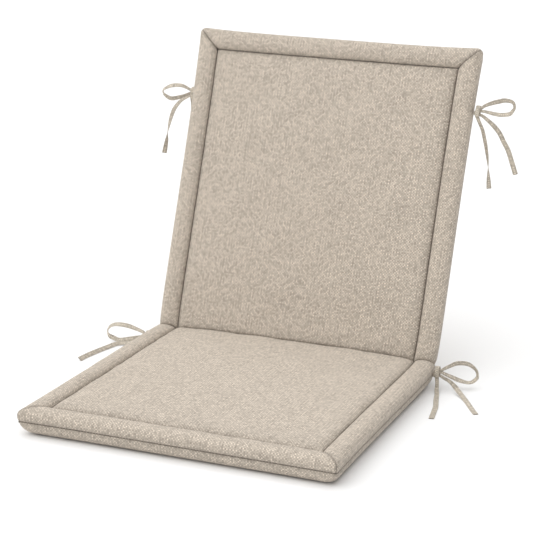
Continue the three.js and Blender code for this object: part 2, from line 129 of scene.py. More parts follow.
def linen_group():
    """Plain weave of slubby yarns over the UV map, in metres. Each yarn is a ridge |sin(pi * place /
    pitch)|, warp and weft take turns on top like a chequer board, and every yarn has its own tone, which
    drifts along it. Each crossing has a tone of its own too (fibre), every second warp yarn is lighter
    (rib), and slow noise makes it cloudy. Where the ridges are low, in the gaps between yarns, the tone
    is darker: painted shade. Tone is about 1 on average."""
    group = bpy.data.node_groups.new("linen_weave", "ShaderNodeTree")
    wanted = (("Place", "Vector", None), ("Yarn", "Float", YARN), ("Contrast", "Float", 0.3))
    for name, kind, value in wanted:
        socket = group.interface.new_socket(name, in_out="INPUT", socket_type=f"NodeSocket{kind}")
        if value is not None:
            socket.default_value = value
    for name in ("Tone", "Height"):
        group.interface.new_socket(name, in_out="OUTPUT", socket_type="NodeSocketFloat")
    inside, outside = add_node(group, "NodeGroupInput"), add_node(group, "NodeGroupOutput")
    place, yarn, contrast = inside.outputs[:3]
    apart = add_node(group, "ShaderNodeSeparateXYZ", in_0=place)
    ways = []
    for across, along in ((0, 1), (1, 0)):
        count = sums(group, "DIVIDE", apart.outputs[across], yarn)
        whole = sums(group, "FLOOR", count)
        ridge = sums(group, "ABSOLUTE", sums(group, "SINE", sums(group, "MULTIPLY", count, math.pi)))
        drift = add_node(group, "ShaderNodeCombineXYZ", in_0=sums(group, "MULTIPLY", whole, 3.71),
                         in_1=sums(group, "MULTIPLY", apart.outputs[along], YARN_DRIFT),
                         in_2=float(7 * across))
        tone = add_node(group, "ShaderNodeTexNoise", in_Vector=drift.outputs[0], in_Scale=1.0, in_Detail=2.0)
        ways.append((whole, ridge, tone.outputs["Fac"]))
    turn = sums(group, "MODULO", sums(group, "ABSOLUTE", sums(group, "ADD", ways[0][0], ways[1][0])), 2.0)
    tone = add_node(group, "ShaderNodeMix", in_0=turn, in_2=ways[0][2], in_3=ways[1][2]).outputs[0]
    over = add_node(group, "ShaderNodeMix", in_0=turn, in_2=ways[0][1], in_3=ways[1][1]).outputs[0]
    under = add_node(group, "ShaderNodeMix", in_0=turn, in_2=ways[1][1], in_3=ways[0][1]).outputs[0]
    height = sums(group, "MULTIPLY", over, sums(group, "MULTIPLY_ADD", under, 0.45, 0.55))
    crossing = add_node(group, "ShaderNodeCombineXYZ", in_0=ways[0][0], in_1=ways[1][0])
    fibre = add_node(group, "ShaderNodeTexWhiteNoise", in_Vector=crossing.outputs[0]).outputs["Value"]
    cloud = add_node(group, "ShaderNodeTexNoise", in_Vector=place, in_Scale=28.0, in_Detail=3.0)
    odd = sums(group, "MODULO", sums(group, "ABSOLUTE", ways[0][0]), 2.0)
    rib = sums(group, "MULTIPLY", sums(group, "SUBTRACT", odd, 0.5),
               sums(group, "MULTIPLY", ways[0][2], RIB_SHARE))
    slub = sums(group, "MULTIPLY_ADD", fibre, 0.9, 0.2)  # turns are unlike, and some hardly show
    chequer = sums(group, "MULTIPLY_ADD", sums(group, "SUBTRACT", turn, 0.5), slub, rib)
    mixed = chequer
    # The height of the yarns darkens the tone in the gaps between them: painted shade.
    for source, share in ((cloud.outputs["Fac"], CLOUD_SHARE), (fibre, FIBRE_SHARE),
                          (height, GAP_SHADE_SHARE), (tone, TONE_SHARE)):
        mixed = sums(group, "MULTIPLY_ADD", sums(group, "SUBTRACT", source, 0.5), share, mixed)
    group.links.new(sums(group, "MULTIPLY_ADD", mixed, contrast, 1.0), outside.inputs["Tone"])
    group.links.new(sums(group, "MULTIPLY_ADD", tone, 0.35, height), outside.inputs["Height"])
    return group


def linen(name, colour, contrast=0.42, yarn=YARN):
    """A matt cloth of that mean colour, woven by the linen_weave group over the piece's UV map, and darkened
    by painted shade near seams by its from_seam attribute.
    """
    material = bpy.data.materials.new(name)
    material.use_nodes = True
    tree = material.node_tree
    shader = tree.nodes["Principled BSDF"]
    weave = bpy.data.node_groups.get("linen_weave") or linen_group()
    uv = add_node(tree, "ShaderNodeUVMap", uv_map="cloth")
    woven = add_node(tree, "ShaderNodeGroup", node_tree=weave, in_Place=uv.outputs[0], in_Yarn=yarn,
                     in_Contrast=contrast)
    # Painted shade: the cloth is darkened near seams and the crease, by the from_seam distance, where the
    # real cloth lies in shade.
    seam = add_node(tree, "ShaderNodeAttribute", attribute_name="from_seam").outputs["Fac"]
    kept = 1.0
    for shade, fade in PAINTED_SEAM_SHADES:
        near = sums(tree, "EXPONENT", sums(tree, "MULTIPLY", seam, -1 / fade))
        kept = sums(tree, "MULTIPLY_ADD", near, -shade, kept)
    tone = sums(tree, "MULTIPLY", woven.outputs["Tone"], kept)
    tinted = add_node(tree, "ShaderNodeMix", data_type="RGBA", blend_type="MULTIPLY", in_0=1.0,
                      in_6=(*colour, 1.0), in_7=tone)
    bumped = add_node(tree, "ShaderNodeBump", in_Strength=0.5, in_Distance=0.0006,
                      in_Height=woven.outputs["Height"])
    tree.links.new(tinted.outputs[2], shader.inputs["Base Color"])
    rough = sums(tree, "MULTIPLY_ADD", woven.outputs["Height"], -0.12, 0.97)
    tree.links.new(rough, shader.inputs["Roughness"])
    tree.links.new(bumped.outputs[0], shader.inputs["Normal"])
    shader.inputs["Sheen Weight"].default_value = 0.12
    shader.inputs["Specular IOR Level"].default_value = 0.2
    return material


def mesh_piece(name, points, faces, uv, material, facing=None, from_seam=1.0):
    """An object of those points, faces and one UV for each point, at the origin and smooth. A closed
    body's faces are turned outwards; a sheet's are turned so that they face along facing. from_seam is
    how far each point is from the nearest seam; the cloth material paints shade by it."""
    data = bpy.data.meshes.new(name)
    data.from_pydata(points.tolist(), [], faces)
    if facing is None:
        made = bmesh.new()
        made.from_mesh(data)
        bmesh.ops.recalc_face_normals(made, faces=made.faces)
        made.to_mesh(data)
        made.free()
    elif sum((face.normal * face.area for face in data.polygons), Vector()).dot(facing) < 0:
        data.flip_normals()
    layer = data.uv_layers.new(name="cloth")
    corners = np.empty(len(data.loops), np.int32)
    data.loops.foreach_get("vertex_index", corners)
    layer.data.foreach_set("uv", uv[corners].astype(np.float32).ravel())
    distance = data.attributes.new("from_seam", "FLOAT", "POINT")
    distance.data.foreach_set("value", np.broadcast_to(from_seam, len(points)).astype(np.float32).copy())
    data.polygons.foreach_set("use_smooth", np.ones(len(data.polygons), bool))
    data.materials.append(material)
    piece = bpy.data.objects.new(name, data)
    bpy.context.scene.collection.objects.link(piece)
    return piece


def grid_faces(rows, columns, wrap=False):
    """Quads of a grid of rows by columns points, closed round its columns if wrap says so."""
    i, j = np.meshgrid(np.arange(rows - 1), np.arange(columns if wrap else columns - 1), indexing="ij")
    a, b = i * columns + j, i * columns + (j + 1) % columns
    return np.stack([a, b, b + columns, a + columns], axis=-1).reshape(-1, 4).tolist()


def tube_faces(rings, around):
    """Faces of a tube of that many rings, each of so many points around, capped at both ends."""
    caps = [list(range(around)), list(range((rings - 1) * around, rings * around))]
    return grid_faces(rings, around, wrap=True) + caps


def smooth_line(points, step):
    """A Catmull-Rom curve through the points: (2b + (c-a)t + (2a-5b+4c-d)t^2 + (3b-a-3c+d)t^3) / 2 on the
    stretch from b to c, then spaced evenly, about step apart. Further columns, such as an angle, are
    carried along."""
    p = np.array(points, float)
    p = np.vstack([2 * p[0] - p[1], p, 2 * p[-1] - p[-2]])
    t = np.linspace(0, 1, 16, endpoint=False)[None, :, None]
    a, b, c, d = (p[k:len(p) - 3 + k, None, :] for k in range(4))
    line = (2 * b + (c - a) * t + (2 * a - 5 * b + 4 * c - d) * t**2 + (3 * b - a - 3 * c + d) * t**3) / 2
    line = np.vstack([line.reshape(-1, p.shape[1]), p[-2]])
    along = np.concatenate([[0], np.cumsum(np.linalg.norm(np.diff(line[:, :3], axis=0), axis=1))])
    at = np.linspace(0, along[-1], int(round(along[-1] / step)) + 1)
    return np.stack([np.interp(at, along, line[:, k]) for k in range(line.shape[1])], axis=1)


def strap(name, route, material):
    """A folded strap along route, whose rows are x, y, z, its twist, its width as a share and how far it
    is wrapped. Its face looks forwards, or up where it lies on the floor, and is turned about the route
    by the twist in degrees; where it is wrapped its width runs across instead. Its section is |u/w|^p +
    |v/t|^p = 1 with p the SECTION_POWER, thinner in the middle, and each end is
    open: the rim turns in to a shallow hollow."""
    line = smooth_line(route, TIE_STEP)
    centre, turn, share, wrapped = line[:, :3], np.radians(line[:, 3]), line[:, 4], np.clip(line[:, 5], 0, 1)
    tangent = np.gradient(centre, axis=0)
    tangent /= np.linalg.norm(tangent, axis=1)[:, None]
    lying = np.clip(1.4 - centre[:, 2:] / 0.012, 0, 1)
    face = lying * (0, -0.15, 1) + (1 - lying) * (0.2, -1, 0.25)
    width = np.cross(tangent, face)
    width /= np.maximum(np.linalg.norm(width, axis=1), 0.2)[:, None]
    across = np.array([1.0, 0, 0]) - tangent * tangent[:, :1]
    for k in range(len(width)):
        before = width[k - 1] if k else across[0]
        pulls = [way if way @ before >= 0 else -way for way in (width[k], across[k])]
        kept = before - tangent[k] * (before @ tangent[k])
        width[k] = (1 - wrapped[k]) * pulls[0] + wrapped[k] * pulls[1] + 0.5 * kept
        width[k] /= np.linalg.norm(width[k])
    out = np.cross(tangent, width)
    width, out = (np.cos(turn)[:, None] * width + np.sin(turn)[:, None] * out,
                  np.cos(turn)[:, None] * out - np.sin(turn)[:, None] * width)
    round_it = np.linspace(0, 2 * math.pi, 20, endpoint=False)
    u = np.sign(np.cos(round_it)) * np.abs(np.cos(round_it)) ** (2 / SECTION_POWER)
    v = np.sign(np.sin(round_it)) * np.abs(np.sin(round_it)) ** (2 / SECTION_POWER) * (0.7 + 0.3 * u**2)
    wide = TIE_WIDTH / 2 * share[:, None, None] * u[None, :, None]
    thick = TIE_THICKNESS / 2 * (2 - share[:, None, None]) * v[None, :, None]
    rings = centre[:, None, :] + wide * width[:, None, :] + thick * out[:, None, :]
    for first, way in ((0, 1), (-1, -1)):
        rim = centre[first] + (rings[first] - centre[first]) * 0.7
        hollow = centre[first] + (rings[first] - centre[first]) * 0.5 + way * tangent[first] * 0.003
        rings = np.concatenate([[hollow, rim], rings] if way > 0 else [rings, [rim, hollow]])
    n, m = rings.shape[:2]
    along = np.arange(n) * TIE_STEP
    uv = np.stack(np.broadcast_arrays(round_it[None, :] / math.pi * TIE_WIDTH, along[:, None]), axis=-1)
    piece = mesh_piece(name, rings.reshape(-1, 3), tube_faces(n, m), uv.reshape(-1, 2), material)
    return piece, centre


def from_knot(bow, points):
    """Millimetres outwards, along +Y and up from a bow's knot, as points of the row frame."""
    return bow["knot"] + np.array(points, float) * (bow["side"], 1, 1) / 1000


def in_knot(bow, points):
    """Millimetres outwards, along the knot and forwards, as points of the row frame."""
    lie = bow["lie"]
    frame_of_knot = np.array([(bow["side"], 0, 0),
                              (0, math.sin(lie), math.cos(lie)),
                              (0, -math.cos(lie), math.sin(lie))])
    return bow["knot"] + np.array(points, float) @ frame_of_knot / 1000


def strap_route(*stretches):
    """The stretches of a strap, one after another, each given as points, twists, width shares and
    wrapping; the last three are one number, or (share of the stretch, value) pairs."""
    rows = []
    for points, *values in stretches:
        along = np.concatenate([[0], np.cumsum(np.linalg.norm(np.diff(points, axis=0), axis=1))])
        at = along / max(along[-1], 1e-9)
        pairs = [value if isinstance(value, list) else [(0, value), (1, value)] for value in values]
        rows.append(np.column_stack([points] + [np.interp(at, *np.transpose(pair)) for pair in pairs]))
    return np.vstack(rows)


# The routes from each knot, in millimetres: outwards, along +Y and up. Twists are in degrees, each at a
# share of the stretch, and length_along says which way the knot's own length lies.
BOWS = {
    "upper_right": {
        "side": 1, "body": "back", "length_along": "back",
        "loop": [[5.2, -1.5, 6], [12, 0, 11], [24, 3, 16], [34, 4, 19], [42, 5, 21], [51, 7, 20],
                 [56, 8, 17], [58, 8, 10], [55, 7, 4], [50, 7, -1], [37, 5, -3], [25, 4, -2],
                 [14, 3, 0], [5.2, 1.5, 1]],
        "wrap_tail": [[1, -2, -12.8], [4.5, -1, -19], [9, 1, -30], [13, 1, -44], [16, 2, -58], [19, 2, -74],
                      [21, 2, -89], [23, 1, -108], [25, 0, -125]],
        "loop_tail": [[5.2, -1.5, -5], [10, -2, -7], [18, -1, -13], [28, 1, -22], [37, 3, -33], [44, 4, -46],
                      [52, 5, -60], [59, 6, -79], [66, 7, -99]],
        "wrap_twist": [(0, 30), (0.3, 40), (0.55, 60), (0.68, 88), (0.78, 120), (1, 165)],
        "tail_twist": [(0, 30), (0.2, 20), (1, 10)],
    },
    "upper_left": {
        "side": -1, "body": "back", "length_along": "back",
        "loop": [[5.2, -1.5, 5], [12, -1, 8], [21, -2, 11], [31, -3, 11], [40, -4, 9.5], [48, -5, 6],
                 [54, -5, 2], [55, -5, -3], [51, -4, -8], [45, -2, -12], [38, -1, -13], [21, 1, -8.5],
                 [12, 2, -4.5],
                 [5.2, 1.5, -1]],
        "wrap_tail": [[0, -2, -12.8], [1, 0, -22], [2, 2, -38], [2, 3, -56], [1, 4, -76], [0, 4, -96],
                      [-1, 4, -112]],
        "loop_tail": [[5.6, -1.5, -6], [11, -2, -8.5], [18, -4, -12.5], [25, -5, -19], [34, -6, -32],
                      [41, -6, -52], [46, -6, -75], [48, -5, -88], [52, -5, -110]],
        "wrap_twist": [(0, 15), (1, 20)],
        "tail_twist": [(0, 40), (0.3, 15), (0.55, 40), (0.72, 86), (0.82, 125), (1, 160)],
    },
    "lower_right": {
        "side": 1, "body": "seat", "length_along": "upright",
        "loop": [[5.6, -1.5, 4], [11, 0, 7.5], [18, 5, 11], [28, 12, 15], [41, 20, 14], [50, 24, 9],
                 [56, 27, 2], [58, 28, -5], [57, 28, -11], [48, 24, -18], [34, 17, -15], [21, 9, -8],
                 [12, 3.5, -3],
                 [5.6, 1.5, 0]],
        "wrap_tail": [[0, 0, -10.8], [1, -4, -17], [3, -12, -24], [7, -24, -28.6], [11, -40, -29],
                      [16, -59, -29], [22, -81, -29], [26, -104, -29], [31, -134, -29]],
        "loop_tail": [[5.2, -1.5, -5], [12, -2, -8], [21, -3, -11.5], [30, -6, -17], [38, -11, -22.5],
                      [48, -21, -27], [58, -35, -28.8], [70, -56, -29], [80, -74, -29], [88, -87, -29]],
        "wrap_twist": [(0, 20), (0.3, 0), (1, 0)],
        "tail_twist": [(0, 30), (0.4, 10), (1, 0)],
    },
    "lower_left": {
        "side": -1, "body": "seat", "length_along": "upright",
        "loop": [[5.2, -1.5, 4], [11, -1, 7], [23, 0, 10], [36, 0, 13], [49, 0, 14], [62, 0, 13], [71, 0, 9],
                 [76, 0, 3], [77, 0, -3], [73, 0, -9], [66, 1, -12], [56, 1, -14], [36, 2, -10], [23, 2, -6],
                 [11, 2, -2], [5.2, 1.5, 0]],
        "wrap_tail": [[0, 0, -10.8], [1, 4, -15], [3, 12, -17.8], [5, 24, -18], [6, 38, -18], [6, 54, -18],
                      [4, 70, -18], [3, 86, -18], [3, 100, -18]],
        "loop_tail": [[5.6, -1.5, -5], [12, -3, -7.5], [20, -6, -9.5], [30, -7, -12.5], [39, -8, -15],
                      [47, -11, -15.3], [53, -21, -15.2], [57, -38, -15.3], [60.5, -53, -15.3],
                      [64, -71, -15.3], [67.5, -92, -15.3], [70, -118, -15.3]],
        "wrap_twist": [(0, 20), (0.3, 0), (1, 0)],
        "tail_twist": [(0, 30), (0.35, -35), (1, -40)],
    },
}
# One turn of the wrapped strap, in millimetres outwards, along the knot and forwards.
ROUND_THE_KNOT = [[0, -5, -6.4], [0, -1, -4.6], [0, 4, -4.5], [0, 8.2, -3], [0, 9.6, 0], [0, 8.2, 3],
                  [0, 4, 4.5], [0, 0, 4.7], [0, -4, 4.5], [0, -7.5, 3.6]]
LOOP_TWIST = [(0, 35), (0.3, 25), (0.5, 62), (0.62, 30), (1, 35)]
lean = math.radians(90 + frame["joints"][0]["range_deg"][0])  # at its lower limit the back lies flat
tie_cloth = linen("tie_cloth", TIE_COLOUR, contrast=0.5, yarn=0.0016)

SEWN_IN_AT = 0.249  # how far out from the middle the straps are sewn in
for name, bow in BOWS.items():
    low, high = (np.array(corner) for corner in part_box(f"tie_{name}_knot"))
    bow["knot"] = (low + high) / 2
    bow["lie"] = lean if bow["length_along"] == "back" else 0.0
    root_low, root_high = (np.array(corner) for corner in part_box(f"tie_{name}_root"))
    root = (root_low + root_high) / 2
    root[0] = bow["side"] * SEWN_IN_AT
    into = in_knot(bow, [[-3, 0, -3.5]])[0]
    wrap = in_knot(bow, ROUND_THE_KNOT)
    first = np.array([root, root * 0.45 + into * 0.55])
    wrapped = strap_route(
        (first, 0, 0.8, 0), (wrap, 0, 0.85, 1),
        (from_knot(bow, bow["wrap_tail"][1:]), bow["wrap_twist"], [(0, 0.8), (0.3, 1), (1, 1.05)], 0))
    knotted, centre = strap(f"tie_{name}_wrapped_strap", wrapped, tie_cloth)
    under = in_knot(bow, [[0, 0, 1], [-4.5, -1.5, 0.6], [-4.5, -4, 0], [0, -4.5, -0.5]])
    looped = strap_route(
        (first + (0, 0, 0.0016), 0, 0.8, 0), (in_knot(bow, [[-1.5, 3, -0.6]]), 0, KNOT_GATHER, 0),
        (from_knot(bow, bow["loop"]), LOOP_TWIST, [(0, 0.65), (0.2, 1), (0.8, 1), (1, 0.65)], 0),
        (under, 0, KNOT_GATHER, 0),
        (from_knot(bow, bow["loop_tail"]), bow["tail_twist"], [(0, 0.65), (0.25, 1), (1, 1.05)], 0))
    tied, tied_centre = strap(f"tie_{name}_looped_strap", looped, tie_cloth)
    for piece, line, nodes in ((knotted, centre, ("root", "knot", "wrap_tail")),
                               (tied, tied_centre, ("loop", "loop_tail"))):
        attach(piece, bow["body"])
        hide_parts(*(f"tie_{name}_{node}" for node in nodes))
        long = float(np.linalg.norm(np.diff(line, axis=0), axis=1).sum())

# ---- Centre panels ------------------------------------------------------------------------------------
# The middle of each pad: one panel of quilted cloth over the foam core, puffed up from the sunk seam that
# joins it to the borders. At the fold both panels run full into the crease and press on each other.

HALF_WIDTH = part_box("seat_border_right")[1].x
SEAT_LENGTH = fold[1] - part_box("seat_border_front")[0].y
BACK_LENGTH = 0.5215  # of its cover, 5.5 mm more than that of the solids it stands for
SEAM_INSET = 0.0355  # from the widest line in to the sunk seam
SEAM_RISE = 0.0012  # bottom of the sunk seam above the fold line
PUFF = 0.0075  # quick rise beside the seam
CROWN = 0.0048  # slow rise to the middle
PANEL_COLOUR = (0.478, 0.417, 0.349)
CLOTH_THICKNESS = 0.0012
ROLL_RADIUS = 0.009  # of the panels where they turn down into the crease
FOLD_DRAW = 0.003  # how far the sides are drawn in at the fold
FULL_AT = 0.03  # from the fold line to where a panel has its full height
PANEL_STEP = 0.0027  # between the points of its grid
SEAM_RUN = 0.016  # beside its seams, where they are closer together

# Of each pad: its directions away from the fold and out of its face, how far its end and sides are drawn
# in, the radius of its corners and how far its underside is puffed.
PADS = {
    "seat": {"length": SEAT_LENGTH, "end": "front", "under": "base_panel",
             "along": np.array([0, -1.0, 0]), "up": np.array([0, 0, 1.0]),
             "end_draw": 0.002, "side_draw": 0.0022, "corner": 0.007, "rear_puff": 0.0},
    "back": {"length": BACK_LENGTH, "end": "top", "under": "rear_panel",
             "along": np.array([0, math.sin(lean), math.cos(lean)]),
             "up": np.array([0, -math.cos(lean), math.sin(lean)]),
             "end_draw": 0.0035, "side_draw": 0.0048, "corner": 0.011, "rear_puff": 0.004},
}
# Half the angle between the pads.
closing = math.acos(float(PADS["seat"]["along"] @ PADS["back"]["along"])) / 2


def lumps(a, b, size, seed):
    """A smooth unevenness, mostly between -1 and 1: the sum of seven sine waves of about that size over
    3.2, each sin(a * ka + b * kb + phase), in seeded random directions."""
    draw = np.random.default_rng(seed)
    way, phase = draw.uniform(0, 2 * math.pi, (2, 7))
    pace = 2 * math.pi / size * draw.uniform(0.7, 1.4, 7)
    waves = [np.sin(a * k * math.cos(w) + b * k * math.sin(w) + p) for w, p, k in zip(way, phase, pace)]
    return sum(waves) / 3.2


def at_fold(q, z):
    """Profile of a pad's end, q along it from the fold line, for a surface that is z above the fold line
    further on. Above the fold it follows the plane between the pads, then turns level with radius R: s =
    q cos(c), z = q sin(c), then an arc of c radians, then level. Below the fold it is a quarter
    ellipse."""
    radius = np.minimum(ROLL_RADIUS, 2.3 * np.maximum(z, 1e-5))
    rise = np.maximum(z, 1e-5)
    straight = rise / math.sin(closing) - radius * math.tan(closing / 2)
    turned = np.clip((q - straight) / radius, 0, closing)
    on = np.minimum(q, straight)
    s_up = on * math.cos(closing) + radius * (math.sin(closing) - np.sin(closing - turned))
    z_up = on * math.sin(closing) + radius * (np.cos(closing - turned) - math.cos(closing))
    s_up = s_up + np.maximum(q - straight - radius * closing, 0)
    depth = np.maximum(-z, 1e-5)
    reach = np.minimum(0.014, 2.5 * depth)
    arc = math.pi / 2 * np.sqrt((reach**2 + depth**2) / 2)
    angle = np.clip(q / arc, 0, 1) * math.pi / 2
    s_down = reach * (1 - np.cos(angle)) + np.maximum(q - arc, 0)
    return np.where(z > 0, s_up, s_down), np.where(z > 0, z_up, -depth * np.sin(angle))


def from_crease(q, z):
    """How far q is beyond the line where the two pads part, for a surface that is z above the fold line."""
    radius = np.minimum(ROLL_RADIUS, 2.3 * np.maximum(z, 1e-5))
    parting = z / math.sin(closing) - radius * math.tan(closing / 2)
    return np.where(z > 0, np.maximum(q - parting, 0), 1.0)


def far_q(z, s_far):
    """How far q has to run for at_fold to reach s_far."""
    long = 2.0
    return long - (at_fold(np.full_like(z, long), z)[0] - s_far)


def down_the_pad(crease, step, long):
    """Shares of the way from the fold to the far end, long away: fine steps over the crease, then even
    ones."""
    fine = np.arange(0, crease, 0.0011)
    return np.concatenate([fine, np.linspace(crease, long, int(round((long - crease) / step)))]) / long


def in_plan(pad, x, s, z):
    """Where a point of the straight-sided pad goes in plan. Corners are rounded, more so low down, by
    moving a point of the corner square to the quarter disc, (u, v) * max(u, v) / |(u, v)|; then sides and
    end are drawn in: the sides by side_draw * (1 - exp(-far / 90 mm)), and by FOLD_DRAW * exp(-s / 22 mm)
    at the fold."""
    far = pad["length"] - s
    corner = pad["corner"] + 0.9 * np.maximum(-z - 0.009, 0)
    u = np.maximum(corner - (HALF_WIDTH - np.abs(x)), 1e-9)
    v = np.maximum(corner - far, 1e-9)
    gone = np.where((u > 1e-8) & (v > 1e-8), 1 - np.maximum(u, v) / np.hypot(u, v), 0)
    x, s = x - np.sign(x) * u * gone, s - v * gone
    drawn = pad["side_draw"] * (1 - np.exp(-np.maximum(far, 0) / 0.09))
    drawn = drawn + FOLD_DRAW * np.exp(-np.maximum(s, 0) / 0.022)
    near_end = np.clip((s - pad["length"] + 0.12) / 0.12, 0, 1) ** 2
    s = s - pad["end_draw"] * (1 - (np.abs(x) / HALF_WIDTH) ** 4) * near_end
    return x * (1 - drawn / HALF_WIDTH), s


def on_pad(pad, x, s, z):
    """Points of the row frame, from x across, s from the fold and z above the fold line."""
    x, s = in_plan(pad, x, s, z)
    across = np.array([1.0, 0, 0])
    return fold + x[..., None] * across + s[..., None] * pad["along"] + z[..., None] * pad["up"]


def roll_up(d, reach):
    """A quarter ellipse, from 0 upright at d = 0 to 1 level at reach."""
    return np.sqrt(1 - (1 - np.clip(d / reach, 0, 1)) ** 2)


def panel_rise(pad, x, s):
    """Height of a centre panel above the fold line: a roll beside each seam, a slow crown, and the
    unevenness of the stuffing, with short puckers that die away from the seams."""
    side = HALF_WIDTH - SEAM_INSET - np.abs(x)
    end = pad["length"] - SEAM_INSET - s
    seed = 11 if pad is PADS["seat"] else 31
    puckers = 0.0007 * (np.exp(-end / 0.012) * lumps(x, s * 0.2, 0.017, seed) * roll_up(end, 0.006)
                        + np.exp(-side / 0.010) * lumps(s, x * 0.2, 0.021, seed + 1) * roll_up(side, 0.006))
    uneven = 0.0007 * lumps(x, s, 0.085, seed + 2) + 0.0003 * lumps(x, s, 0.034, seed + 3)
    rolls = roll_up(side, 0.019) * roll_up(end, 0.019)
    crown = (1 - np.exp(-side / 0.055)) * (1 - np.exp(-end / 0.055))
    return SEAM_RISE + PUFF * rolls + CROWN * crown + puckers + uneven * rolls


def to_the_seams(half, fine, step):
    """Places from -half to half, closer together towards both ends."""
    near = fine * (1 - np.cos(np.linspace(0, math.pi / 2, 13)))
    middle = np.linspace(fine, 2 * half - fine, int(round((2 * half - 2 * fine) / step)))
    return np.concatenate([near[:-1], middle, 2 * half - near[:-1][::-1]]) - half


CREASE_SHADE = 0.6  # the crease counts as this share of its distance away, so its painted shade reaches further


def cover(name, points, uv, from_seam, material, facing, node):
    """A piece of the pads' cover, from a grid of points, thickened inwards."""
    rows, columns = points.shape[:2]
    piece = mesh_piece(name, points.reshape(-1, 3), grid_faces(rows, columns), uv.reshape(-1, 2), material,
                       facing, np.broadcast_to(from_seam, (rows, columns)).ravel())
    thick = piece.modifiers.new("cloth_thickness", "SOLIDIFY")
    thick.thickness = CLOTH_THICKNESS
    thick.offset = -1
    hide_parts(node)
    return piece


def cross_fold(piece):
    """Bakes the placing of a piece that reaches the fold into its mesh."""
    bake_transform(piece)


panel_cloth = linen("panel_cloth", PANEL_COLOUR)
for name, pad in PADS.items():
    x = to_the_seams(HALF_WIDTH - SEAM_INSET, SEAM_RUN, PANEL_STEP)
    end = pad["length"] - SEAM_INSET
    beyond = panel_rise(pad, x, np.full_like(x, FULL_AT))
    long = far_q(beyond, np.full_like(x, end))
    share = down_the_pad(FULL_AT, PANEL_STEP, long.mean())
    tail = 1 - SEAM_RUN / end * (1 - np.sin(np.linspace(0, math.pi / 2, 14)))
    share = np.concatenate([share[share < tail[0] - 0.002], tail])
    q = share[:, None] * long[None, :]
    s, z = at_fold(q, np.broadcast_to(beyond, q.shape))
    wide = np.broadcast_to(x, q.shape)
    z = z * panel_rise(pad, wide, np.maximum(s, FULL_AT)) / beyond
    end_share = 0.45 if name == "seat" else 1  # the seat's front seam gets its painted shade over a wider band
    # Distances to the seams and the crease, which set the painted shade of the cloth.
    seam = np.minimum(HALF_WIDTH - SEAM_INSET - np.abs(wide), (end - s) * end_share)
    seam = np.minimum(seam, from_crease(q, beyond) * CREASE_SHADE)
    piece = cover(f"{name}_centre_panel_cloth", on_pad(pad, wide, s, z), np.stack([wide, s], -1), seam,
                  panel_cloth, pad["up"], f"{name}_centre_panel")
    cross_fold(piece)

# ---- Borders ------------------------------------------------------------------------------------------
# Puffed rolls of the same cloth round three sides of each pad, over a fibre filling. They are sewn to the
# panel in the sunk seam, to each other at mitred corners and to the underside at the edge seam.

BORDER_COLOUR = (0.476, 0.415, 0.347)
# Handles of the section's curves: inset from the widest line and height above the underside, in
# millimetres.
OVER_THE_BORDER = [[(35.5, 32.2), (35.0, 38.5), (28.0, 42.2), (18.5, 42.2)],
                   [(18.5, 42.2), (7.5, 42.2), (0.0, 37.8), (0.0, 30.0)],
                   [(0.0, 30.0), (0.0, 26.0), (0.8, 22.6), (3.4, 22.0)]]
ROUND_THE_RIM = [[(3.4, 22.0), (1.5, 20.8), (1.4, 14.5), (4.8, 9.5)],
                 [(4.8, 9.5), (8.2, 4.7), (14.5, 0.0), (27.0, 0.0)]]
HEART = np.array([0.0185, -0.009])  # the middle of the section: inset, and height above the fold line
MITRE_DEPTH = 0.07  # share of the way to the middle that the section shrinks in a mitre
MITRE_REACH = 0.003  # how far from a mitre it shrinks
BORDER_CREASE, BORDER_STEP = 0.034, 0.0029  # length of the fine steps from the fold, and the even step after
MITRE_RUN = 0.035  # share of a side border, at its far end, where the steps get finer again


def along_curves(curves, count):
    """Insets and heights above the fold line along cubic curves, (1-t)^3 a + 3(1-t)^2 t b + 3(1-t) t^2 c
    + t^3 d, count steps on each."""
    t = np.linspace(0, 1, count, endpoint=False)[:, None]
    line = [(1 - t) ** 3 * a + 3 * (1 - t) ** 2 * t * b + 3 * (1 - t) * t**2 * c + t**3 * d
            for a, b, c, d in (np.array(curve, float) for curve in curves)]
    line = np.vstack([*line, np.array(curves[-1][-1], float)]) / 1000
    return line[:, 0], line[:, 1] - fold[2]


def arc_length(inset, height):
    """How far along the section each of its points is."""
    return np.concatenate([[0], np.cumsum(np.hypot(np.diff(inset), np.diff(height)))])


def border_puff(inset, height, along, seed):
    """How far the stuffing is uneven at a place of the border, most on its crest; it dies at both its
    seams."""
    held = np.sin(np.clip(inset / SEAM_INSET, 0, 1) * math.pi) ** 0.7 * (height > 0)
    puckers = 0.0004 * np.exp(-(SEAM_INSET - inset) / 0.009) * lumps(along, inset, 0.019, seed)
    return (0.0004 * lumps(along, inset, 0.07, seed + 1) + puckers) * held


def at_mitre(inset, height, far):
    """How the section shrinks towards its middle, far away from the seam of a mitre: by MITRE_DEPTH times
    exp(-(far / MITRE_REACH)^2), less towards the rim. Gives how much further in and how much higher it
    is."""
    held = MITRE_DEPTH * np.exp(-((far / MITRE_REACH) ** 2)) * np.clip(inset / 0.015, 0.25, 1)
    return (HEART[0] - inset) * held, (HEART[1] - height) * held


